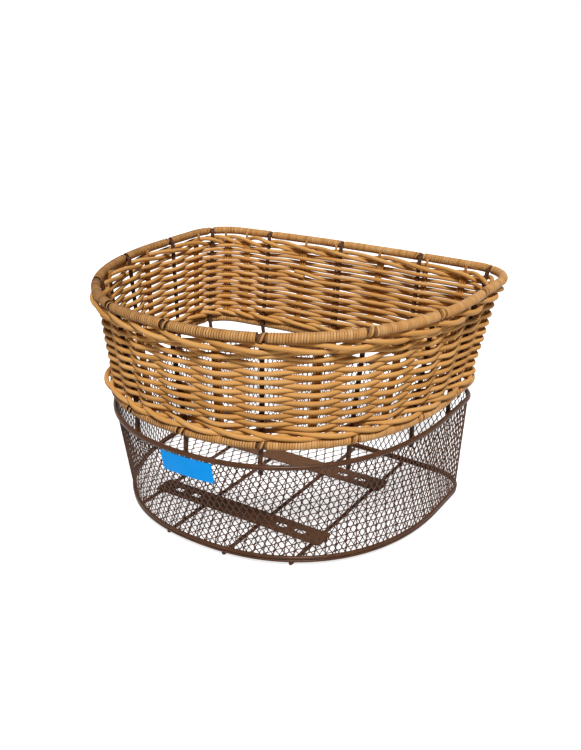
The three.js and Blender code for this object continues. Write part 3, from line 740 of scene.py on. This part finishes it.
def floorMeshStrands():
    # strands along the depth, cut to the foot's outline
    look = floorMesh
    edge, _ = wallAt(np.linspace(0, 1000, 1440, endpoint=False), footZ, look["inset"])
    spacing = look["cell"] / 2
    corners, aside = sheetCorners(look, look["front"], look["back"], spacing)
    fine = np.arange(look["front"], look["back"], 0.5)
    parts = []
    reach = int(175 / spacing)
    for strand in range(-reach, reach + 1):
        x = (strand + np.interp(fine, corners, aside) * (-1) ** strand) * spacing
        inside = np.flatnonzero(insideLoop(edge[:, :2], x, fine))
        if len(inside) < 3:
            continue
        low, high = fine[inside[0]], fine[inside[-1]]
        y = np.r_[low, corners[(corners > low + 0.2) & (corners < high - 0.2)], high]
        points = np.c_[np.interp(y, fine, x), y, np.full(len(y), look["z"])]
        parts.append(sheetBar(points, np.tile([0.0, 0, 1], (len(y), 1)), look))
    return parts


addPiece("meshWall", wallMeshStrands(), sheetCoatPaintedLight, "mesh_steel", "mesh_wall", smooth=False)
addPiece("floorMesh", floorMeshStrands(), sheetCoatPaintedLight, "mesh_steel", "floor_mesh", smooth=False)
print("mesh made")

# Floor rods, each a little shorter at the front than the foot ring's reach
rods = {"x": [-99, -41, 28, 91], "radius": 2.0, "frontTrim": [4.0, 2.0, 2.0, 2.0], "steps": 40}
footEdge, _ = wallAt(np.linspace(0, 1000, 2880, endpoint=False), footZ)
for i, (x, trim) in enumerate(zip(rods["x"], rods["frontTrim"])):
    ring = footEdge[np.abs(footEdge[:, 0] - x) < 0.6]  # where the foot ring passes over the rod
    y = np.linspace(ring[:, 1].min() + trim, ring[:, 1].max(), rods["steps"])
    line = np.stack([np.full_like(y, x), y, np.full_like(y, rods["radius"])], -1)
    rod = tube(line, np.tile([0.0, 0, 1], (len(y), 1)), rods["radius"], 14, ends="round")
    addPiece(f"floorRod{i + 1}", [rod], brownCoat, "steel", f"floor_rod_{i + 1}")

# Mounting straps with their slots
strap = {
    "length": 204, "width": 24, "thickness": 1.5, "corner": 3, "edge": 0.35, "bottom": 5.8,
    "slots": [-77, -56, 51, 73], "slotLength": 13, "slotWidth": 6.5, "y": {"front": -67, "rear": 56.5},
}


def roundedLoop(cx, cy, halfX, halfY, r, steps):
    loop = []
    for qx, qy, start in ((1, -1, -90), (1, 1, 0), (-1, 1, 90), (-1, -1, 180)):
        for k in range(steps + 1):
            a = math.radians(start + 90 * k / steps)
            loop.append((cx + qx * (halfX - r) + r * math.cos(a), cy + qy * (halfY - r) + r * math.sin(a)))
    return loop


def strapMesh(name, y):
    # an outline with slots, filled, given its thickness and softened edges
    curve = bpy.data.curves.new(name + "Outline", "CURVE")
    curve.dimensions = "2D"
    curve.fill_mode = "BOTH"
    curve.extrude = (strap["thickness"] / 2 - strap["edge"]) * mm
    curve.bevel_depth = strap["edge"] * mm
    curve.bevel_resolution = 2
    curve.offset = -strap["edge"] * mm
    half, radius = (strap["slotLength"] / 2, strap["slotWidth"] / 2), strap["slotWidth"] / 2 - 0.01
    loops = [roundedLoop(0, y, strap["length"] / 2, strap["width"] / 2, strap["corner"], 8)]
    loops += [roundedLoop(x, y, *half, radius, 10) for x in strap["slots"]]
    for loop in loops:
        spline = curve.splines.new("POLY")
        spline.points.add(len(loop) - 1)
        for point, (px, py) in zip(spline.points, loop):
            point.co = (px * mm, py * mm, 0, 1)
        spline.use_cyclic_u = True
    source = bpy.data.objects.new(name + "Outline", curve)
    bpy.context.scene.collection.objects.link(source)
    source.location.z = (strap["bottom"] + strap["thickness"] / 2) * mm
    bpy.context.view_layer.update()
    mesh = bpy.data.meshes.new_from_object(source.evaluated_get(bpy.context.evaluated_depsgraph_get()))
    mesh.transform(source.matrix_world)
    bpy.data.objects.remove(source)
    return mesh


for end, y in strap["y"].items():
    placePiece(f"{end}Strap", strapMesh(f"{end}Strap", y), strapCoatPaintedLight, "steel", f"{end}_mounting_strap")

# Blank plate, bent to the wall outside the mesh
plate = {"from": 469, "to": 521, "top": 109, "height": 22, "thickness": 1.0, "standOff": 0.9, "edge": 0.3}


def plateSkin():
    # the section's loop runs down the outer face and up the inner one, with eased edges
    t, e, h = plate["thickness"], plate["edge"], plate["height"]
    section = [(0, t - e), (e, t), (h - e, t), (h, t - e), (h, 0), (0, 0)]
    places = np.linspace(plate["to"], plate["from"], 40)
    rows = [wallAt(places, plate["top"] - drop, -plate["standOff"] - out)[0] for drop, out in section]
    verts = np.stack(rows, 1)
    return grid(verts, verts, np.full(verts.shape[:2], 0.5), closed=False)


addPiece("blankPlate", [plateSkin()], blueEnamel, "plate", "blank_plate", smooth=False)
print("rods, straps and plate made")

# Stage: a pale floor that shows white where the sun reaches it and keeps a soft shadow
stage = {"floor": "#D2D2D2", "floorGlow": 0.78, "size": 12, "worldFill": 0.12}


def behindShare(tree):
    # 1 for what the camera sees directly, or in gloss or through glass
    path = addNode(tree, "ShaderNodeLightPath").outputs
    seen = addNode(tree, "ShaderNodeMath",
                   {0: path["Is Camera Ray"], 1: path["Is Glossy Ray"]}, operation="ADD")
    seen = addNode(tree, "ShaderNodeMath", {0: seen.outputs[0], 1: path["Is Transmission Ray"]},
                   operation="ADD", use_clamp=True)
    return seen.outputs[0]


mesh = bpy.data.meshes.new("floor")
half = stage["size"]
square = [(-half, -half, 0), (half, -half, 0), (half, half, 0), (-half, half, 0)]
mesh.from_pydata(square, [], [(0, 1, 2, 3)])
floor = bpy.data.objects.new("floor", mesh)
bpy.context.scene.collection.objects.link(floor)
material, tree = newMaterial("paleFloor")
glow = addNode(tree, "ShaderNodeMath", {0: behindShare(tree), 1: stage["floorGlow"]}, operation="MULTIPLY")
lit = addNode(tree, "ShaderNodeBsdfPrincipled", {
    "Base Color": colour(stage["floor"]), "Roughness": 0.9, "Specular IOR Level": 0.0,
    "Emission Color": (1, 1, 1, 1), "Emission Strength": glow.outputs[0]})
addNode(tree, "ShaderNodeOutputMaterial", {"Surface": lit.outputs[0]})
mesh.materials.append(material)

world = bpy.data.worlds.new("studio")
bpy.context.scene.world = world
world.use_nodes = True
tree = world.node_tree
tree.nodes.clear()
fill = addNode(tree, "ShaderNodeBackground", {"Color": (1, 1, 1, 1), "Strength": stage["worldFill"]})
white = addNode(tree, "ShaderNodeBackground", {"Color": (1, 1, 1, 1), "Strength": 1.0})
both = addNode(tree, "ShaderNodeMixShader", {0: behindShare(tree), 1: fill.outputs[0], 2: white.outputs[0]})
addNode(tree, "ShaderNodeOutputWorld", {"Surface": both.outputs[0]})

# One large soft light: heading from the basket's middle and height in degrees, width of its disc
sun = {"heading": -52, "height": 56, "width": 12, "strength": 3.65}
data = bpy.data.lights.new("sun", "SUN")
data.energy = sun["strength"]
data.angle = math.radians(sun["width"])
lamp = bpy.data.objects.new("sun", data)
bpy.context.scene.collection.objects.link(lamp)
lamp.rotation_euler = (math.radians(90 - sun["height"]), 0, math.radians(sun["heading"] + 90))

# The photograph's view: focal length in pixels, heading and drop of the view in degrees, place in mm
view = {"focal": 870.6, "heading": 32.62, "drop": 22.24, "place": (461.1, -690.7, 473.0), "longSide": 750}
data = bpy.data.cameras.new("camera")
data.sensor_width = 36
data.lens = view["focal"] * data.sensor_width / view["longSide"]
camera = bpy.data.objects.new("camera", data)
bpy.context.scene.collection.objects.link(camera)
camera.location = [v * mm for v in view["place"]]
camera.rotation_euler = (math.radians(90 - view["drop"]), 0, math.radians(view["heading"]))
bpy.context.scene.camera = camera
bpy.context.scene.view_settings.view_transform = "Standard"
print("stage set")
